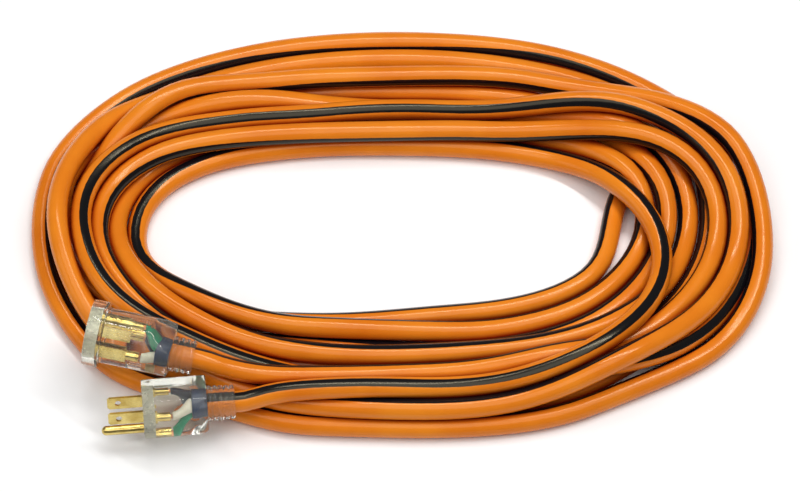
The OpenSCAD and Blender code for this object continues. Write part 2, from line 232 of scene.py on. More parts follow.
# The tails' points, the same as the model's: over the near run, up on the turns, and in among them
PLUG_TAIL = millimetres([
    (-62, -104, 21), (-37, -103, 22), (-12, -102, 24), (14, -101, 25), (42, -97, 26),
    (62, -93, 26), (83, -87, 26), (106, -76, 26), (121, -60, 25), (129, -42, 22),
    (134, -24, 19), (132, -8, 17), (128, 4, 16), (121, 15, 15), (113, 22, 14),
    (106, 29, 14), (93, 38.5, 13), (79, 44.5, 12), (61, 52, 7)])
CONNECTOR_TAIL = millimetres([(-90, -92, 28), (-76, -94, 23), (-62, -95, 19), (-33, -92, 15)])
# The bend that joins the two halves, lying on the floor under the turns at the right
BEND = millimetres([
    (177, 0, 5.4), (176, 14, 5.4), (170, 29, 5.4), (158, 40, 5.4), (142, 44, 5.4),
    (126, 40, 5.4), (113, 28, 5.4), (107, 14, 5.4), (106, 0, 5.4)])

# %% [markdown]
# Each row of the lay chart is one station of a strand: its angle round the coil (-90 is the near
# run, 0 the right turn, 90 the far run, 180 the left turn), its lane in cord diameters inwards from
# the outermost strand, its height (0 the lower layer, 1 the upper) and where the black stripe faces
# (0 inwards, 90 up, 180 outwards, 270 down on the floor side).

# %% The lay chart
FROM_CONNECTOR = [
    (-80, 1.8, 1.0, 40), (0, 1.7, 1.0, 12), (90, 5.7, 1.0, -5), (180, 2.7, 1.0, 35),
    (270, 2.5, 0.0, 60), (360, 2.2, 0.2, 35), (410, 1.2, 0.7, 25), (450, 0.95, 1.0, -10),
    (540, 0.8, 1.0, -60), (630, 0.9, 0.1, -60), (720, 1.1, 0.0, 20), (765, 0.2, 0.0, 30),
    (785, 0.0, 0.1, 40), (810, 0.0, 0.0, 5), (850, 0.0, 0.0, 42), (900, 0.0, 0.0, 45),
    (990, 0.0, 0.0, 45), (1080, 0.0, 0.9, 22),
    (1170, 2.6, 1.0, 10), (1260, 1.2, 0.1, -60), (1350, 0.5, 0.9, 60), (1440, 0.9, 1.0, 15),
    (1530, 4.4, 1.0, 68), (1620, 1.75, 1.0, 70), (1710, 1.8, 0.0, 90), (1765, 0.5, 0.0, 120)]
FROM_PLUG = [
    (85, 5.7, 0.0, 128), (180, 3.8, 0.0, 95), (270, 4.2, 0.0, 35), (360, 5.0, 0.0, 40),
    (450, 4.8, 0.0, -60), (540, 3.0, 0.4, -60), (630, 2.8, 1.0, 60), (720, 2.9, 1.0, 30),
    (810, 3.7, 0.0, -30), (900, 1.0, 0.0, -60), (990, 3.5, 0.0, 60), (1080, 4.2, 0.0, 30),
    (1170, 2.9, 0.0, -60), (1260, 2.8, 0.0, -60), (1350, 5.0, 0.2, 42), (1405, 5.6, 0.1, 42)]

# %% [markdown]
# ## From the chart to a first route
# A lane is an oval a little squarer than an ellipse, drawn a number of cord diameters inside the
# outermost one. Between two stations of the chart a strand eases from one lane to the next, as a
# hand-wound cord drifts across its neighbours. The two halves, the bend, the tails and the short
# stretches inside the ends are then put one after another, from the connector to the plug.

# %% From the chart to a first route
def lane_point(angle, lane, height):
    """A point in a lane: on the outermost oval, then lane diameters inwards along its normal."""
    c, s = math.cos(math.radians(angle)), math.sin(math.radians(angle))
    x = OVAL_A * math.copysign(abs(c) ** (2 / OVAL_POWER), c)
    y = OVAL_B * math.copysign(abs(s) ** (2 / OVAL_POWER), s)
    normal = np.array([math.copysign(abs(x / OVAL_A) ** (OVAL_POWER - 1) / OVAL_A, x),
                       math.copysign(abs(y / OVAL_B) ** (OVAL_POWER - 1) / OVAL_B, y)])
    normal *= lane * CORD_D / np.linalg.norm(normal)
    return np.array([x - normal[0], y - normal[1], CORD_R + height * LAYER_STEP]) + COIL_MIDDLE


def strand(chart, step=15):
    """The chart's points, every few degrees, each with the stripe's angle as a fourth number."""
    points = []
    for (a0, l0, h0, s0), (a1, l1, h1, s1) in zip(chart[:-1], chart[1:]):
        count = max(1, round((a1 - a0) / step))
        for t in np.arange(count) / count:
            ease = t * t * (3 - 2 * t)
            place = lane_point(a0 + (a1 - a0) * t, l0 + (l1 - l0) * ease, h0 + (h1 - h0) * ease)
            points.append([*place, s0 + (s1 - s0) * ease])
    a, l, h, s = chart[-1]
    points.append([*lane_point(a, l, h), s])
    return np.array(points)


def with_stripe(points, start, end):
    """Points with the stripe's angle as a fourth number, turning evenly from start to end."""
    return np.column_stack([points, np.linspace(start, end, len(points))])


def along_an_end(place, *distances):
    """Points on an end's own axis, at these distances in millimetres from its face."""
    return np.array([place @ Vector((x, 0, 0)) for x in distances])


def first_route():
    """The whole cord from the connector to the plug. The second half runs the other way round the
    coil, so its inward side is on the other hand and its stripe angle is mirrored."""
    from_connector, from_plug = strand(FROM_CONNECTOR), strand(FROM_PLUG)[::-1]
    from_plug[:, 3] = 180 - from_plug[:, 3]
    out_of_connector = along_an_end(
        CONNECTOR_PLACE, CONNECTOR_LONG - CONNECTOR_RELIEF + 0.5, CONNECTOR_LONG, CONNECTOR_LONG + 6)
    into_plug = along_an_end(PLUG_PLACE, PLUG_LONG + 6, PLUG_LONG, PLUG_LONG - PLUG_RELIEF + 0.5)
    parts = [
        with_stripe(out_of_connector, CONNECTOR_STRIPE, CONNECTOR_STRIPE),
        with_stripe(CONNECTOR_TAIL, CONNECTOR_STRIPE, from_connector[0, 3]),
        from_connector,
        with_stripe(BEND, from_connector[-1, 3], from_plug[0, 3]),
        from_plug,
        with_stripe(PLUG_TAIL[::-1], from_plug[-1, 3], PLUG_STRIPE),
        with_stripe(into_plug, PLUG_STRIPE, PLUG_STRIPE)]
    # a fifth number marks the bend, the fourth part, which lies under everything that crosses it
    marked = [np.column_stack([part, np.full(len(part), float(k == 3))]) for k, part in enumerate(parts)]
    return np.vstack(marked)


# %% [markdown]
# ## An even spacing
# The stations are far apart in some places and close in others. The rope solver wants links of one
# length, and so does the tube's mesh, so a smooth curve is passed through the points and cut into
# equal steps. The stripe's angle is carried along with each point.

# %% An even spacing along a smooth curve
def even(points, spacing):
    """Points an even distance apart on a smooth curve through the given ones (Catmull-Rom)."""
    p = np.vstack([2 * points[0] - points[1], points, 2 * points[-1] - points[-2]])
    pieces = 8
    t = (np.arange(pieces) / pieces)[:, None]
    runs = []
    for a, b, c, d in zip(p[:-3], p[1:-2], p[2:-1], p[3:]):
        runs.append(0.5 * (2 * b + (c - a) * t + (2 * a - 5 * b + 4 * c - d) * t ** 2
                           + (3 * b - a - 3 * c + d) * t ** 3))
    curve = np.vstack(runs + [points[-1:]])
    along = np.concatenate([[0], np.cumsum(np.linalg.norm(np.diff(curve[:, :3], axis=0), axis=1))])
    wanted = np.linspace(0, along[-1], round(along[-1] / spacing) + 1)
    return np.column_stack([np.interp(wanted, along, curve[:, k]) for k in range(curve.shape[1])])

# %% [markdown]
# ## The rope solver
# A real coil takes its shape from four things: weight, the floor, the stiffness of the cord and the
# touch of its neighbours. The solver has one simple rule for each and applies them in turn, a few
# hundred times. Blender's soft bodies could be tried too, but a result worked out here, from start
# to end in one short function, is easier to follow and is the same each time.

# %% The rope solver
NEAR = 1.9 * CORD_D
CLEARLY_HIGHER = 0.3 * CORD_D
CROSSING_SHARPNESS = 20
CROSSING_LIFT = 0.6 * CORD_D
CONTACT_GAIN = 1.2
STIFFNESS = 0.11
# The fall of each round in metres: at first the sum of both, at the end only the second
EARLY_FALL, STEADY_FALL = 0.00015, 0.00004
LANE_PULL = 0.06
ROUNDS, BEND_PASSES, CONTACT_PASSES = 360, 5, 4
# The points inside either end don't move
HELD_POINTS = 4


def near_pairs(p, skip, order):
    """Which points have a stretch of another part of the cord close by, and the lift that a strand
    gets where it crosses another instead of running beside it: the later in order goes over."""
    square = ((p[:, None, :] - p[None, :, :]) ** 2).sum(-1)
    i, j = np.where(square < NEAR ** 2)
    keep = (np.abs(i - j) > skip) & (j < len(p) - 1)
    i, j = i[keep], j[keep]
    along = np.gradient(p, axis=0)
    along /= np.linalg.norm(along, axis=1)[:, None]
    crossing = np.clip(CROSSING_SHARPNESS * (1 - np.abs((along[i] * along[j]).sum(-1))), 0, 1)
    rise = p[i, 2] - p[j, 2]
    over = np.where(np.abs(rise) > CLEARLY_HIGHER, np.sign(rise), np.sign(order[i] - order[j]))
    return i, j, CROSSING_LIFT * crossing * over


def push_apart(p, pairs, free):
    """Moves a point and the stretch it touches apart, towards a full diameter between them."""
    i, j, lift = pairs
    a, stretch = p[j], p[j + 1] - p[j]
    t = np.clip(((p[i] - a) * stretch).sum(-1) / (stretch ** 2).sum(-1), 0, 1)
    apart = p[i] - a - stretch * t[:, None]
    distance = np.linalg.norm(apart, axis=1)
    hit = distance < CORD_D
    way = apart[hit] + np.outer(lift[hit], [0, 0, 1])
    way /= np.maximum(np.linalg.norm(way, axis=1), 1e-6)[:, None]
    i, j, t, push = i[hit], j[hit], t[hit], 0.5 * (CORD_D - distance[hit])[:, None] * way
    moved, count = np.zeros_like(p), np.zeros(len(p))
    for place, share in ((i, np.ones(len(i))), (j, t - 1), (j + 1, -t)):
        np.add.at(moved, place, push * share[:, None])
        np.add.at(count, place, np.abs(share))
    return p + CONTACT_GAIN * free[:, None] * moved / np.maximum(count, 1)[:, None]


def settle(route):
    """Lets the cord drop into place: weight, a weak pull to its lane, stiffness, contact, floor."""
    lanes, p = route[:, :3].copy(), route[:, :3].copy()
    free = np.ones(len(p))
    free[:HELD_POINTS] = free[-HELD_POINTS:] = 0
    spacing = np.linalg.norm(np.diff(p, axis=0), axis=1).mean()
    skip = math.ceil(3 * CORD_D / spacing)
    order = np.where(route[:, 4] > 0.3, -1, np.arange(len(p)))
    for turn in range(ROUNDS):
        done = turn / ROUNDS
        if turn % 5 == 0:
            pairs = near_pairs(p, skip, order)
        p[:, 2] -= (EARLY_FALL * (1 - done) + STEADY_FALL) * free
        pull = LANE_PULL * (1 - 0.8 * done) * free
        p[:, :2] += pull[:, None] * (lanes[:, :2] - p[:, :2])
        for _ in range(BEND_PASSES):
            bend = np.zeros_like(p)
            bend[1:-1] = p[:-2] + p[2:] - 2 * p[1:-1]
            shear = np.zeros_like(p)
            shear[2:-2] = bend[1:-3] + bend[3:-1] - 2 * bend[2:-2]
            p -= STIFFNESS * free[:, None] * shear
        for _ in range(CONTACT_PASSES):
            p = push_apart(p, pairs, free)
            p[:, 2] = np.maximum(p[:, 2], CORD_R)
    return np.column_stack([p, route[:, 3]])


LINK_LENGTH, RING_SPACING = 0.008, 0.006
lay = even(settle(even(first_route(), LINK_LENGTH)), RING_SPACING)
steps = np.linalg.norm(np.diff(lay[:, :3], axis=0), axis=1)
print("laid length", round(float(steps.sum()), 3), "rings", len(lay))
print("highest point of its middle line", round(float(lay[:, 2].max()), 4))

# %% [markdown]
# ## The cord's mesh
# A bevelled curve would give a plain round tube, but the stripe has to stay on one side of the
# jacket and drift slowly round it. So the tube is built ring by ring, with its own UV map: u runs
# round the cord from the middle of the stripe, and v is the distance along it in metres. Three
# shallow lobes wind along the jacket where it follows the twist of the wires inside.

# %% Build the tube
RING_SIDES = 20
LOBE_DEPTH = 0.00012
LOBE_PITCH = 0.19


def tube_mesh(name, path):
    """A closed tube round a path whose fourth number is the angle at which the stripe faces."""
    centre, stripe = path[:, :3], np.radians(path[:, 3])
    along = np.gradient(centre, axis=0)
    along /= np.linalg.norm(along, axis=1)[:, None]
    side = np.cross([0, 0, 1], along)
    side /= np.linalg.norm(side, axis=1)[:, None]
    up = np.cross(along, side)
    distance = np.concatenate([[0], np.cumsum(np.linalg.norm(np.diff(centre, axis=0), axis=1))])
    round_angle = 2 * math.pi * np.arange(RING_SIDES) / RING_SIDES
    angle = stripe[:, None] + round_angle[None, :]
    lobes = np.cos(3 * round_angle[None, :] + 2 * math.pi * distance[:, None] / LOBE_PITCH)
    radius = CORD_R - LOBE_DEPTH * (1 - lobes) / 2
    rings = (centre[:, None, :] + radius[..., None] * (np.cos(angle)[..., None] * side[:, None, :]
                                                      + np.sin(angle)[..., None] * up[:, None, :]))
    n = len(centre)
    vertices = np.vstack([rings.reshape(-1, 3), centre[:1], centre[-1:]])
    faces, uvs = [], []
    for i in range(n - 1):
        here, there = i * RING_SIDES, (i + 1) * RING_SIDES
        for k in range(RING_SIDES):
            m = (k + 1) % RING_SIDES
            faces.append((here + k, here + m, there + m, there + k))
            u0, u1 = k / RING_SIDES, (k + 1) / RING_SIDES
            uvs += [(u0, distance[i]), (u1, distance[i]), (u1, distance[i + 1]), (u0, distance[i + 1])]
    for ring, tip in ((0, n * RING_SIDES), (n - 1, n * RING_SIDES + 1)):
        for k in range(RING_SIDES):
            m = (k + 1) % RING_SIDES
            edge = (ring * RING_SIDES + m, ring * RING_SIDES + k)
            faces.append((tip, *(edge if ring == 0 else edge[::-1])))
            uvs += [(k / RING_SIDES, distance[ring])] * 3
    mesh = make_mesh(name, vertices, faces)
    layer = mesh.uv_layers.new(name="jacket")
    layer.data.foreach_set("uv", np.array(uvs, dtype=np.float32).ravel())
    return mesh


cord_mesh = tube_mesh("cord", lay)
cord = link("cord", cord_mesh)
print("cord faces", len(cord_mesh.polygons))


# %% [markdown]
# ## The jacket's finish
# The jacket is glossy orange vinyl with the black stripe pressed into it. The stripe could be a
# picture, but one number from the UV map, how far round from its middle a point is, is enough: near
# it the colour is black, with a soft, slightly uneven edge. Where strands lie close, painted shade from
# an occlusion node turns the colour dark red, and faint patches in the colour and the gloss keep it
# from looking like paint.

# %% Jacket material
def jacket_material():
    """Orange vinyl with a black stripe, from the UV map that the tube was built with."""
    material, tree, shader, node = new_material("orange_jacket")
    joined = tree.links.new
    uv = node("ShaderNodeUVMap", uv_map="jacket")
    split = node("ShaderNodeSeparateXYZ")
    joined(uv.outputs["UV"], split.inputs["Vector"])
    # how far round from the stripe's middle: 0 on it, 0.5 on the opposite side
    wrap = node("ShaderNodeMath", operation="PINGPONG")
    wrap.inputs[1].default_value = 0.5
    joined(split.outputs["X"], wrap.inputs[0])
    edge_noise = node("ShaderNodeTexNoise")
    edge_noise.inputs["Scale"].default_value = 240
    coordinates = node("ShaderNodeTexCoord")
    joined(coordinates.outputs["Object"], edge_noise.inputs["Vector"])
    wobble = node("ShaderNodeMath", operation="MULTIPLY_ADD")
    wobble.inputs[1].default_value = 0.008
    joined(edge_noise.outputs["Fac"], wobble.inputs[0])
    joined(wrap.outputs[0], wobble.inputs[2])
    stripe = node("ShaderNodeMapRange", interpolation_type="SMOOTHSTEP")
    stripe.inputs["From Min"].default_value = 0.070
    stripe.inputs["From Max"].default_value = 0.080
    stripe.inputs["To Min"].default_value = 1
    stripe.inputs["To Max"].default_value = 0
    joined(wobble.outputs[0], stripe.inputs["Value"])
    mottle = node("ShaderNodeTexNoise")
    mottle.inputs["Scale"].default_value = 30
    mottle.inputs["Detail"].default_value = 4
    joined(coordinates.outputs["Object"], mottle.inputs["Vector"])
    orange = node("ShaderNodeValToRGB")
    orange.color_ramp.elements[0].position = 0.3
    orange.color_ramp.elements[0].color = (0.70, 0.170, 0.007, 1)
    orange.color_ramp.elements[1].position = 0.7
    orange.color_ramp.elements[1].color = (0.80, 0.235, 0.013, 1)
    joined(mottle.outputs["Fac"], orange.inputs["Fac"])
    # painted shade: between the strands an occlusion node darkens the colour to dark red
    crevice_painted_shade = node("ShaderNodeAmbientOcclusion", samples=8, only_local=True)
    crevice_painted_shade.inputs["Distance"].default_value = 0.007
    painted_shade_amount = node("ShaderNodeMapRange")
    painted_shade_amount.inputs["From Min"].default_value = 0.15
    painted_shade_amount.inputs["From Max"].default_value = 0.75
    joined(crevice_painted_shade.outputs["AO"], painted_shade_amount.inputs["Value"])
    # painted shade: the orange is mixed towards dark red where the occlusion is deep
    painted_shade_colour = node("ShaderNodeMix", data_type="RGBA")
    joined(painted_shade_amount.outputs["Result"], painted_shade_colour.inputs["Factor"])
    painted_shade_colour.inputs["A"].default_value = (0.30, 0.012, 0.002, 1)
    joined(orange.outputs["Color"], painted_shade_colour.inputs["B"])
    mix = node("ShaderNodeMix", data_type="RGBA")
    joined(stripe.outputs["Result"], mix.inputs["Factor"])
    joined(painted_shade_colour.outputs["Result"], mix.inputs["A"])
    mix.inputs["B"].default_value = (0.004, 0.004, 0.006, 1)
    joined(mix.outputs["Result"], shader.inputs["Base Color"])
    rough = node("ShaderNodeMapRange")
    rough.inputs["To Min"].default_value = 0.15
    rough.inputs["To Max"].default_value = 0.25
    joined(mottle.outputs["Fac"], rough.inputs["Value"])
    joined(rough.outputs["Result"], shader.inputs["Roughness"])
    fine = node("ShaderNodeTexNoise")
    fine.inputs["Scale"].default_value = 900
    joined(coordinates.outputs["Object"], fine.inputs["Vector"])
    bump = node("ShaderNodeBump")
    bump.inputs["Strength"].default_value = 0.05
    bump.inputs["Distance"].default_value = 0.0005
    joined(fine.outputs["Fac"], bump.inputs["Height"])
    joined(bump.outputs["Normal"], shader.inputs["Normal"])
    shader.inputs["Specular IOR Level"].default_value = 0.35
    shader.inputs["Specular Tint"].default_value = (1, 0.88, 0.62, 1)
    return material


# %% [markdown]
# ## Lofted skins
# A moulding changes its outline along its length, so it is described by sections, one after
# another, with a skin drawn through them. Such a skin is closed by a fan at either end, carried to
# its place, given a material and handed to the frame, which then drops the plain piece that it
# stands in for.

# %% A finished piece in an end's frame, and a skin lofted through sections
def put(name, vertices, faces, place, material, node_slot, sharp=35, replaced=()):
    """A finished piece from points in an end's own frame; its normals are made to point outwards."""
    mesh = make_mesh(name, [place @ Vector(v) for v in vertices], faces)
    work = bmesh.new()
    work.from_mesh(mesh)
    bmesh.ops.recalc_face_normals(work, faces=work.faces)
    work.to_mesh(mesh)
    work.free()
    mesh.set_sharp_from_angle(angle=math.radians(sharp))
    mesh.materials.append(material)
    piece = link(name, mesh)
    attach(piece, BODY)
    if replaced:
        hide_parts(*replaced)
    return piece


def loft(sections):
    """Closed skin through sections, each a list of (x, y, z) points, with a fan at either end."""
    sides = len(sections[0])
    vertices = [v for section in sections for v in section]
    faces = []
    for i in range(len(sections) - 1):
        here, there = i * sides, (i + 1) * sides
        for k in range(sides):
            m = (k + 1) % sides
            faces.append((here + k, here + m, there + m, there + k))
    for ring in (0, len(sections) - 1):
        middle = [sum(v[a] for v in sections[ring]) / sides for a in range(3)]
        vertices.append(middle)
        tip = len(vertices) - 1
        faces += [(tip, ring * sides + (k + 1) % sides, ring * sides + k) for k in range(sides)]
    return vertices, faces

# %% [markdown]
# ## Clear vinyl
# The ends are moulded in clear vinyl with a faint straw tint. Light goes in, bends, and comes back
# off the brass and the wires. So the shells are solid, closed skins that the inner parts sit in, as
# they do in the real moulding, and the shader is a slightly rough, refracting one.

# %% Clear vinyl material
def clear_vinyl():
    """Clear, faintly yellow vinyl, with its gloss a little uneven."""
    material, tree, shader, node = new_material("clear_vinyl")
    coordinates = node("ShaderNodeTexCoord")
    flow = node("ShaderNodeTexNoise")
    flow.inputs["Scale"].default_value = 90
    tree.links.new(coordinates.outputs["Object"], flow.inputs["Vector"])
    tint = node("ShaderNodeValToRGB")
    tint.color_ramp.elements[0].color = (0.97, 0.97, 0.86, 1)
    tint.color_ramp.elements[1].color = (1.0, 1.0, 0.94, 1)
    tree.links.new(flow.outputs["Fac"], tint.inputs["Fac"])
    tree.links.new(tint.outputs["Color"], shader.inputs["Base Color"])
    rough = node("ShaderNodeMapRange")
    rough.inputs["To Min"].default_value = 0.02
    rough.inputs["To Max"].default_value = 0.08
    tree.links.new(flow.outputs["Fac"], rough.inputs["Value"])
    tree.links.new(rough.outputs["Result"], shader.inputs["Roughness"])
    shader.inputs["Transmission Weight"].default_value = 0.95
    shader.inputs["IOR"].default_value = 1.32
    return material


CLEAR = clear_vinyl()

# %% [markdown]
# ## The plug's shell
# Seen from its face the plug is round below, where the ground pin is, and nearly flat above. The
# body keeps that outline for two thirds of its length and is then cut back on the ground side and on
# both flanks, down to a ribbed strain relief. Body and relief come out of one mould, so one skin is
# lofted through both.

# %% Loft the plug's shell
SLOPE = math.tan(math.radians(35))
OUTLINE_POINTS = 72
OUTLINE_ANGLES = [2 * math.pi * k / OUTLINE_POINTS for k in range(OUTLINE_POINTS)]
PLUG_HALF_W, PLUG_TOP, PLUG_BOTTOM = 12.6, 11.6, 15.6
PLUG_CORNER_POWER = 5
# How far from the face the ground side and the flanks start to slope in
PLUG_FLOOR_SLOPES, PLUG_FLANKS_SLOPE = 22.5, 27.25
RELIEF_RADIUS, RIB_HEIGHT, RELIEF_TAPER = 7.9, 1.1, 0.5
RINGS_PER_RIB = 10


def plug_outline():
    """Round below, flat above with round corners, as (y, z) points."""
    points = []
    for angle in OUTLINE_ANGLES:
        y, z = math.cos(angle), math.sin(angle)
        size, height = 1, PLUG_HALF_W
        if z > 0:
            size = (abs(y) ** PLUG_CORNER_POWER + abs(z) ** PLUG_CORNER_POWER) ** (-1 / PLUG_CORNER_POWER)
            height = PLUG_TOP + PLUG_BOTTOM - PLUG_HALF_W
        points.append((y * size * PLUG_HALF_W, PLUG_HALF_W - PLUG_BOTTOM + z * size * height))
    return points


def ribbed_relief(x0, length, ribs):
    """Rings of a ribbed sleeve: rounded ribs with narrow grooves, thinner towards the cord."""
    rings = []
    for k in range(ribs * RINGS_PER_RIB + 1):
        t = k / (ribs * RINGS_PER_RIB)
        wave = abs(math.sin(math.pi * ribs * t)) ** 0.5
        radius = RELIEF_RADIUS + RIB_HEIGHT * wave - RELIEF_TAPER * t
        rings.append([(x0 + length * t, radius * math.cos(a), radius * math.sin(a))
                      for a in OUTLINE_ANGLES])
    return rings


def plug_section(x, shrink=0.0):
    """The plug's outline at x, cut back on the ground side and the flanks, or drawn in by shrink."""
    floor_z = -PLUG_BOTTOM + max(0, x - PLUG_FLOOR_SLOPES) * SLOPE
    flank = PLUG_HALF_W - max(0, x - PLUG_FLANKS_SLOPE) * SLOPE
    k = 1 - shrink / PLUG_HALF_W
    return [(x, max(-flank, min(flank, y * k)), max(floor_z, z * k)) for y, z in plug_outline()]


plug_sections = [plug_section(0.0, 0.7), plug_section(0.2, 0.25), plug_section(0.7)]
plug_sections += [plug_section(x) for x in (8, 16, 22.5, 23.2, 25, 27.25, 28, 30, 31.4)]
plug_sections += [plug_section(31.9, 0.6)]
plug_sections += ribbed_relief(PLUG_LONG - PLUG_RELIEF, PLUG_RELIEF, ribs=5)
plug_shell = put("plug_shell", *loft(plug_sections), PLUG_PLACE, CLEAR, "clear_pvc",
                 replaced=("plug_body", "plug_strain_relief"))
print("plug shell", len(plug_shell.data.polygons), "faces")

# %% [markdown]
# ## The connector's shell
# The connector is a round body with a wide flange at its face. The front insert sits in a shallow
# seat, fine grip ridges run across the ground side, and the last third slopes down to the relief.

# %% Loft the connector's shell
# The barrel's middle is this far on the ground side of the cord's own line
DROP = 2.5
FLANGE_R, BARREL_R = 16.5, 13.9
CONNECTOR_FLOOR = -16.4
CONNECTOR_FLOOR_SLOPES = 32.2
GRIP_START, GRIP_END, GRIP_PITCH, GRIP_DEPTH = 19.5, 31.5, 1.2, 0.55
RINGS_PER_GRIP = 4


def connector_section(x, radius):
    """A round section of the connector; a barrel's one is cut by the grips and the slope."""
    floor_z = CONNECTOR_FLOOR + max(0, x - CONNECTOR_FLOOR_SLOPES) * SLOPE
    if GRIP_START < x < GRIP_END:
        floor_z += GRIP_DEPTH * (0.5 - 0.5 * math.cos(2 * math.pi * (x - GRIP_START) / GRIP_PITCH))
    ring = []
    for angle in OUTLINE_ANGLES:
        y, z = radius * math.cos(angle), radius * math.sin(angle) - DROP
        ring.append((x, y, max(floor_z, z) if radius <= BARREL_R else z))
    return ring


seat = [(5.95, 12.6), (5.9, 12.75), (0.3, 12.75), (0, 13.0)]
flange = [(0, 15.9), (0.2, 16.3), (0.7, FLANGE_R), (7.3, FLANGE_R), (7.8, 16.3), (8, 15.9), (8, 14.4)]
barrel = [(x, BARREL_R) for x in (8.4, 14, 19.4)]
barrel += [(GRIP_START + GRIP_PITCH / RINGS_PER_GRIP * k, BARREL_R) for k in range(41)]
barrel += [(x, BARREL_R) for x in (CONNECTOR_FLOOR_SLOPES, 34, 38, 41.8)]
barrel += [(42.5, 13.3)]
connector_sections = [connector_section(x, radius) for x, radius in seat + flange + barrel]
connector_sections += ribbed_relief(CONNECTOR_LONG - CONNECTOR_RELIEF, CONNECTOR_RELIEF, ribs=4)
connector_shell = put("connector_shell", *loft(connector_sections), CONNECTOR_PLACE, CLEAR, "clear_pvc",
                      replaced=("connector_body", "connector_strain_relief"))
print("connector shell", len(connector_shell.data.polygons), "faces")

# %% [markdown]
# ## Brass
# Blades, pin and contacts are stamped or turned from brass strip. The metal is bright, slightly
# darker in patches where it has been handled, and has fine lines along the way it was drawn.

# %% Brass material
def brass():
    """Drawn brass: bright, darker in patches, with fine lines along the end's length."""
    material, tree, shader, node = new_material("stamped_brass")
    coordinates = node("ShaderNodeTexCoord")
    patches = node("ShaderNodeTexNoise")
    patches.inputs["Scale"].default_value = 160
    patches.inputs["Detail"].default_value = 5
    tree.links.new(coordinates.outputs["Object"], patches.inputs["Vector"])
    colour = node("ShaderNodeValToRGB")
    colour.color_ramp.elements[0].position = 0.25
    colour.color_ramp.elements[0].color = (0.50, 0.34, 0.08, 1)
    colour.color_ramp.elements[1].position = 0.65
    colour.color_ramp.elements[1].color = (0.83, 0.66, 0.24, 1)
    tree.links.new(patches.outputs["Fac"], colour.inputs["Fac"])
    tree.links.new(colour.outputs["Color"], shader.inputs["Base Color"])
    stretch = node("ShaderNodeMapping")
    stretch.inputs["Scale"].default_value = (60, 2500, 2500)
    lines = node("ShaderNodeTexNoise")
    lines.inputs["Scale"].default_value = 1
    tree.links.new(coordinates.outputs["Object"], stretch.inputs["Vector"])
    tree.links.new(stretch.outputs["Vector"], lines.inputs["Vector"])
    rough = node("ShaderNodeMapRange")
    rough.inputs["To Min"].default_value = 0.18
    rough.inputs["To Max"].default_value = 0.36
    tree.links.new(lines.outputs["Fac"], rough.inputs["Value"])
    tree.links.new(rough.outputs["Result"], shader.inputs["Roughness"])
    bump = node("ShaderNodeBump")
    bump.inputs["Strength"].default_value = 0.12
    bump.inputs["Distance"].default_value = 0.0003
    tree.links.new(lines.outputs["Fac"], bump.inputs["Height"])
    tree.links.new(bump.outputs["Normal"], shader.inputs["Normal"])
    shader.inputs["Metallic"].default_value = 1.0
    return material

# %% [markdown]
# ## The small coloured parts
# Insulation, band, carrier, lamp and resistor differ in colour and gloss but not in kind, so one
# maker does them all: two near tones in soft patches, an uneven gloss and a faint grain. Copper is
# made the same way and then turned into a metal, and the lamp's glass lets the light through.

# %% Plastics and lacquer, one maker for the small coloured parts
def moulded(name, dark, light, scale, low_rough, high_rough, transmission=0.0):
    """A moulded or drawn plastic: two near tones in soft patches, uneven gloss and a faint grain.
    A larger scale makes the patches finer, and the gloss wanders between the two roughnesses."""
    material, tree, shader, node = new_material(name)
    coordinates = node("ShaderNodeTexCoord")
    patches = node("ShaderNodeTexNoise")
    patches.inputs["Scale"].default_value = scale
    patches.inputs["Detail"].default_value = 3
    tree.links.new(coordinates.outputs["Object"], patches.inputs["Vector"])
    colour = node("ShaderNodeValToRGB")
    colour.color_ramp.elements[0].position = 0.3
    colour.color_ramp.elements[0].color = (*dark, 1)
    colour.color_ramp.elements[1].position = 0.7
    colour.color_ramp.elements[1].color = (*light, 1)
    tree.links.new(patches.outputs["Fac"], colour.inputs["Fac"])
    tree.links.new(colour.outputs["Color"], shader.inputs["Base Color"])
    rough = node("ShaderNodeMapRange")
    rough.inputs["To Min"].default_value = low_rough
    rough.inputs["To Max"].default_value = high_rough
    tree.links.new(patches.outputs["Fac"], rough.inputs["Value"])
    tree.links.new(rough.outputs["Result"], shader.inputs["Roughness"])
    grain = node("ShaderNodeBump")
    grain.inputs["Strength"].default_value = 0.08
    grain.inputs["Distance"].default_value = 0.0002
    tree.links.new(patches.outputs["Fac"], grain.inputs["Height"])
    tree.links.new(grain.outputs["Normal"], shader.inputs["Normal"])
    shader.inputs["Transmission Weight"].default_value = transmission
    return material


BRASS = brass()
BLACK = moulded("black_insulation", (0.004, 0.006, 0.02), (0.012, 0.016, 0.045), 400, 0.25, 0.4)
WHITE = moulded("white_insulation", (0.80, 0.76, 0.60), (0.90, 0.87, 0.74), 400, 0.3, 0.45)
GREEN = moulded("green_insulation", (0.0, 0.26, 0.12), (0.0, 0.36, 0.18), 400, 0.3, 0.45)
NAVY = moulded("dark_band", (0.002, 0.012, 0.05), (0.006, 0.026, 0.09), 500, 0.3, 0.5)
MILKY = moulded("milky_carrier", (0.90, 0.89, 0.74), (0.96, 0.95, 0.84), 200, 0.2, 0.35, 0.5)
COPPER = moulded("bare_copper", (0.55, 0.22, 0.09), (0.80, 0.40, 0.20), 900, 0.25, 0.4)
COPPER.node_tree.nodes["Principled BSDF"].inputs["Metallic"].default_value = 1.0
GLASS = moulded("lamp_glass", (0.97, 0.95, 0.92), (1.0, 1.0, 0.98), 300, 0.0, 0.06, 1.0)
TAN = moulded("resistor_lacquer", (0.55, 0.38, 0.18), (0.68, 0.50, 0.28), 600, 0.3, 0.5)

# %% [markdown]
# ## Finishes for the parts that stay as they are
# Blades, pin, contacts, bridge, insert, bands, lamp and resistor have their full shape in the
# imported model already, so they are used as they come and only get their finish here.

# %% Give the carried-over parts their finishes
def finish_nodes(material, *names):
    for name in names:
        for place in frame["nodes"][name].material_slots:
            place.material = material


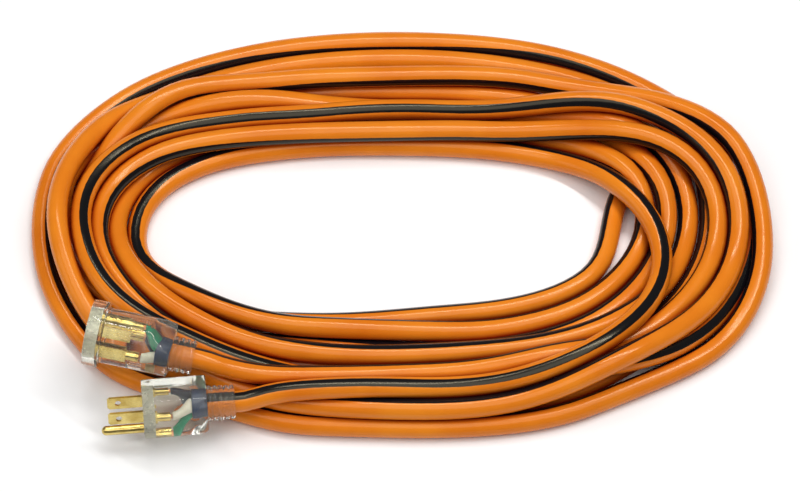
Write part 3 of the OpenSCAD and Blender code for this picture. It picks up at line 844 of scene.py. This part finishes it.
finish_nodes(BRASS, "plug_hot_blade", "plug_neutral_blade", "plug_ground_pin", "connector_hot_contact",
             "connector_neutral_contact", "connector_ground_contact")
finish_nodes(MILKY, "plug_bridge", "connector_face_insert")
finish_nodes(NAVY, "plug_wire_wrap", "connector_wire_wrap")
finish_nodes(GLASS, "connector_lamp")
finish_nodes(TAN, "connector_resistor")

# %% [markdown]
# ## Wires
# Inside each end three insulated wires leave the dark band and bend smoothly out to their crimps.
# They are short tubes, so they are lofted. A wire's name says its colour and the plain piece that
# it stands in for says its role, and both ends have the same three.

# %% Wires
WIRE_R, SPREAD = 2.1, 2.52
BLADE_SIDE, GROUND_BELOW = 6.35, 11.9
HOT, NEUTRAL, GROUND = 0, 1, 2
SIDE_OF = {HOT: 1, NEUTRAL: -1}


def wrap_place(which):
    """Where a wire runs in the dark band: one corner of a triangle about the cord's own line."""
    return (0, -SPREAD) if which == GROUND else (SIDE_OF[which] * SPREAD * 0.866, SPREAD / 2)


def crimp_place(which):
    """Where a wire's bare end is crimped: behind a blade, or behind the ground pin."""
    return (0, -GROUND_BELOW) if which == GROUND else (SIDE_OF[which] * BLADE_SIDE, 0)


def wire(name, place, material, node_slot, which, x0, x1, hand, replaced):
    """A wire that eases from behind its crimp to its place in the band. hand is -1 in the connector."""
    sections, sides, steps = [], 24, 28
    (y0, z0), (y1, z1) = crimp_place(which), wrap_place(which)
    for i in range(steps + 1):
        t = i / steps
        ease = t * t * (3 - 2 * t)
        slope = 6 * t * (1 - t) / (x1 - x0)
        along = Vector((1, (y1 - y0) * hand * slope, (z1 - z0) * slope)).normalized()
        side = along.cross(Vector((0, 0, 1))).normalized()
        up = side.cross(along)
        middle = Vector((x0 + (x1 - x0) * t, (y0 + (y1 - y0) * ease) * hand, z0 + (z1 - z0) * ease))
        edge = 0.82 if i in (0, steps) else 1.0
        sections.append([middle + (side * math.cos(a) + up * math.sin(a)) * WIRE_R * edge
                         for a in (2 * math.pi * k / sides for k in range(sides))])
    return put(name, *loft(sections), place, material, node_slot, sharp=60, replaced=(replaced,))


def three_wires(end, place, x0, x1, hand):
    """The three wires of one end, from x0 behind the crimps to x1 in the band."""
    kinds = (("black", "hot", BLACK, HOT), ("white", "neutral", WHITE, NEUTRAL),
             ("green", "ground", GREEN, GROUND))
    return [wire(f"{end}_{colour}_wire", place, material, f"{colour}_insulation", which, x0, x1, hand,
                 f"{end}_{role}_wire") for colour, role, material, which in kinds]


PLUG_WIRES = three_wires("plug", PLUG_PLACE, x0=14.4, x1=24.3, hand=1)
three_wires("connector", CONNECTOR_PLACE, x0=28.4, x1=34.9, hand=-1)


# %% [markdown]
# ## Bare strands
# The bare copper in a crimp is a bundle of fine strands that all repeat one shape. Each could be
# placed by a loop, but Geometry Nodes do it from four sizes: they set a thin cylinder on every
# point of two rings round a middle strand. The tree ends by making the copies real and giving them
# their finish, and the result is baked into a plain mesh, one for each end.

# %% Bare strands by Geometry Nodes
def strand_tree():
    """Strands laid side by side on rings round a middle one, as long as the bare end."""
    tree = bpy.data.node_groups.new("bare_strands", "GeometryNodeTree")
    face = tree.interface
    sizes = (("Strand radius", "NodeSocketFloat", 0.00021), ("Length", "NodeSocketFloat", 0.0062),
             ("Ring radius", "NodeSocketFloat", 0.00085), ("Around", "NodeSocketInt", 12))
    for label, kind, value in sizes:
        face.new_socket(label, in_out="INPUT", socket_type=kind).default_value = value
    face.new_socket("Finish", in_out="INPUT", socket_type="NodeSocketMaterial")
    face.new_socket("Geometry", in_out="OUTPUT", socket_type="NodeSocketGeometry")
    source, sink = tree.nodes.new("NodeGroupInput"), tree.nodes.new("NodeGroupOutput")
    join = tree.nodes.new("GeometryNodeJoinGeometry")
    # the inner ring has half the radius and half the strands of the outer one
    halves = {}
    for label in ("Ring radius", "Around"):
        halves[label] = tree.nodes.new("ShaderNodeMath")
        halves[label].operation = "MULTIPLY"
        halves[label].inputs[1].default_value = 0.5
        tree.links.new(source.outputs[label], halves[label].inputs[0])
    one = tree.nodes.new("GeometryNodeMeshCylinder")
    one.inputs["Vertices"].default_value = 8
    tree.links.new(source.outputs["Strand radius"], one.inputs["Radius"])
    tree.links.new(source.outputs["Length"], one.inputs["Depth"])
    for radius, count in ((source.outputs["Ring radius"], source.outputs["Around"]),
                          (halves["Ring radius"].outputs[0], halves["Around"].outputs[0])):
        ring = tree.nodes.new("GeometryNodeMeshCircle")
        tree.links.new(radius, ring.inputs["Radius"])
        tree.links.new(count, ring.inputs["Vertices"])
        place = tree.nodes.new("GeometryNodeInstanceOnPoints")
        tree.links.new(ring.outputs["Mesh"], place.inputs["Points"])
        tree.links.new(one.outputs["Mesh"], place.inputs["Instance"])
        tree.links.new(place.outputs["Instances"], join.inputs["Geometry"])
    tree.links.new(one.outputs["Mesh"], join.inputs["Geometry"])
    real = tree.nodes.new("GeometryNodeRealizeInstances")
    paint = tree.nodes.new("GeometryNodeSetMaterial")
    tree.links.new(join.outputs["Geometry"], real.inputs["Geometry"])
    tree.links.new(real.outputs["Geometry"], paint.inputs["Geometry"])
    tree.links.new(source.outputs["Finish"], paint.inputs["Material"])
    tree.links.new(paint.outputs["Geometry"], sink.inputs["Geometry"])
    return tree


STRANDS = strand_tree()


def bare_strands(name, place, x0, length, replaced):
    """Three bundles, one behind each crimp, baked into one plain mesh."""
    holder = link("strand_holder", bpy.data.meshes.new("strand_holder"))
    modifier = holder.modifiers.new("strands", "NODES")
    modifier.node_group = STRANDS
    sockets = {s.name: s.identifier for s in STRANDS.interface.items_tree if s.in_out == "INPUT"}
    modifier[sockets["Length"]] = length / 1000
    modifier[sockets["Finish"]] = COPPER
    bundle = bpy.data.meshes.new_from_object(holder.evaluated_get(bpy.context.evaluated_depsgraph_get()))
    bpy.data.objects.remove(holder)
    work = bmesh.new()
    lie_along_x = Matrix.Rotation(math.pi / 2, 4, "Y")
    for which in (HOT, NEUTRAL, GROUND):
        middle = (x0 + length / 2, *crimp_place(which))
        before = set(work.verts)
        work.from_mesh(bundle)
        move = place @ Matrix.Translation(middle) @ Matrix.Scale(1000, 4) @ lie_along_x
        bmesh.ops.transform(work, matrix=move, verts=[v for v in work.verts if v not in before])
    bpy.data.meshes.remove(bundle)
    mesh = bpy.data.meshes.new(name)
    work.to_mesh(mesh)
    work.free()
    mesh.materials.clear()
    mesh.materials.append(COPPER)
    piece = link(name, mesh)
    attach(piece, BODY)
    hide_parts(replaced)
    print(name, len(mesh.polygons), "faces")
    return piece


plug_strands = bare_strands(
    "plug_bare_strands", PLUG_PLACE, x0=8.4, length=6.0, replaced="plug_copper_strands")
bare_strands(
    "connector_bare_strands", CONNECTOR_PLACE, x0=22.4, length=6.0, replaced="connector_copper_strands")

# %% [markdown]
# The cord is one piece from the connector to the plug. Its length is the length such a cord is sold
# in, which the turns in view add up to.

# %% The cord gets its finish, rides, and replaces its plain solids
cord_mesh.materials.append(jacket_material())
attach(cord, BODY)
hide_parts("cord_coil", "cord_plug_tail", "cord_connector_tail")
